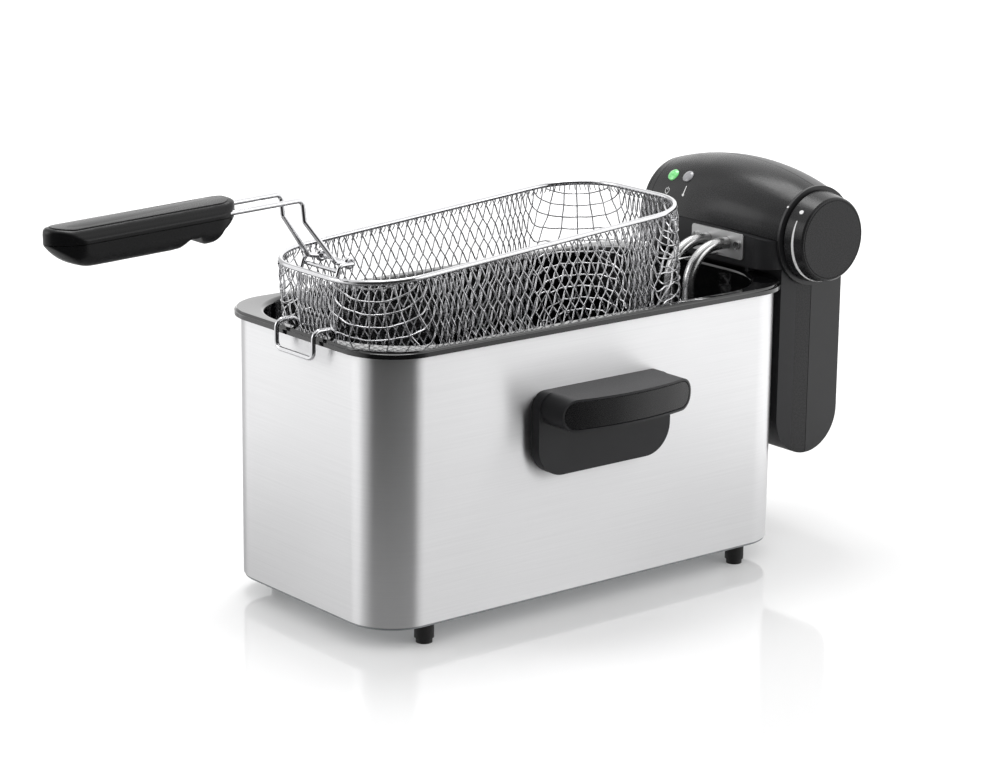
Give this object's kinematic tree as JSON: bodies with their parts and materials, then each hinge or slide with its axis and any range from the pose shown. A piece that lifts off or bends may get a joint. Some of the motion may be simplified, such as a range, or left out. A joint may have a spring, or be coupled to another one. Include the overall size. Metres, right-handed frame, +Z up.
{
  "type": "deep fryer",
  "caption": "Countertop deep fryer: steel shell, lift-out enamelled pot, clip-on control head with immersion element and thermostat knob, and a wire basket with a fold-in handle.",
  "frame": {"origin": "on the counter, under the middle of the steel shell and its four feet", "axes": "+Z up, -Y towards the basket handle, +Y towards the control head, +X towards the side the knob faces"},
  "size_m": [0.256, 0.6223, 0.2919],
  "materials": {
    "shell_steel": "brushed along the length, satin",
    "base_steel": "plain zinc-coated sheet",
    "foot_plastic": "matt",
    "screw_steel": "zinc plated",
    "handle_plastic": "fine grained, satin",
    "inlay_plastic": "satin",
    "grip_plastic": "fine grained, satin",
    "pot_enamel": "glossy vitreous enamel",
    "head_plastic": "satin",
    "knob_plastic": "satin",
    "lamp_green": "clear tinted, glossy",
    "lamp_clear": "clear tinted, glossy",
    "white_plastic": "matt",
    "element_steel": "satin stainless",
    "switch_plastic": "matt",
    "lead_insulation": "matt silicone",
    "basket_wire": "bright plated wire"
  },
  "bodies": {
    "shell": {"outer_shell": "shell_steel", "base_plate": "base_steel", "feet": "foot_plastic", "foot_screws": "screw_steel", "side_handle_right": "handle_plastic", "side_handle_left": "handle_plastic", "handle_inlay_right": "inlay_plastic", "handle_inlay_left": "inlay_plastic", "handle_screws": "screw_steel", "head_bracket": "handle_plastic", "bracket_screws": "screw_steel"},
    "pot": {"oil_pot": "pot_enamel"},
    "head": {"head_fascia": "head_plastic", "front_housing": "handle_plastic", "rear_cover": "head_plastic", "end_cap": "head_plastic", "knob_collar": "head_plastic", "cover_screws": "screw_steel", "power_lamp_lens": "lamp_green", "heat_lamp_lens": "lamp_clear", "lamp_holders": "white_plastic", "element_plate": "element_steel", "element_screws": "screw_steel", "heating_element": "element_steel", "element_ferrules": "element_steel", "element_terminals": "element_steel", "thermostat_bulb": "element_steel", "capillary_tube": "element_steel", "bulb_clips": "element_steel", "thermostat_body": "element_steel", "thermal_cutout": "element_steel", "terminal_block": "white_plastic", "interlock_switch": "switch_plastic", "wiring_loom": "lead_insulation", "cord_gland": "handle_plastic"},
    "knob": {"knob": "knob_plastic", "knob_face": "knob_plastic", "thermostat_shaft": "element_steel"},
    "basket": {"basket_rim": "basket_wire", "basket_mesh": "basket_wire", "basket_hook": "basket_wire", "handle_bracket": "basket_wire"},
    "handle": {"handle_rods": "basket_wire", "grip_upper": "grip_plastic", "grip_lower": "handle_plastic", "grip_panel": "inlay_plastic", "grip_screws": "screw_steel"}
  },
  "joints": [
    {"name": "pot_lift", "type": "slide", "parent": "shell", "child": "pot", "axis": [0, 0, 1], "range_m": [0, 0.19]},
    {"name": "head_lift", "type": "slide", "parent": "pot", "child": "head", "axis": [0, 0, 1], "range_m": [0, 0.18]},
    {"name": "knob_turn", "type": "hinge", "parent": "head", "child": "knob", "pos_m": [0.0743, 0.2146, 0.2248], "axis": [-1, 0, 0], "range_deg": [0, 270]},
    {"name": "basket_lift", "type": "slide", "parent": "head", "child": "basket", "axis": [0, 0, 1], "range_m": [0, 0.13]},
    {"name": "handle_fold", "type": "hinge", "parent": "basket", "child": "handle", "pos_m": [0, -0.15, 0.242], "axis": [-1, 0, 0], "range_deg": [0, 175]}
  ]
}
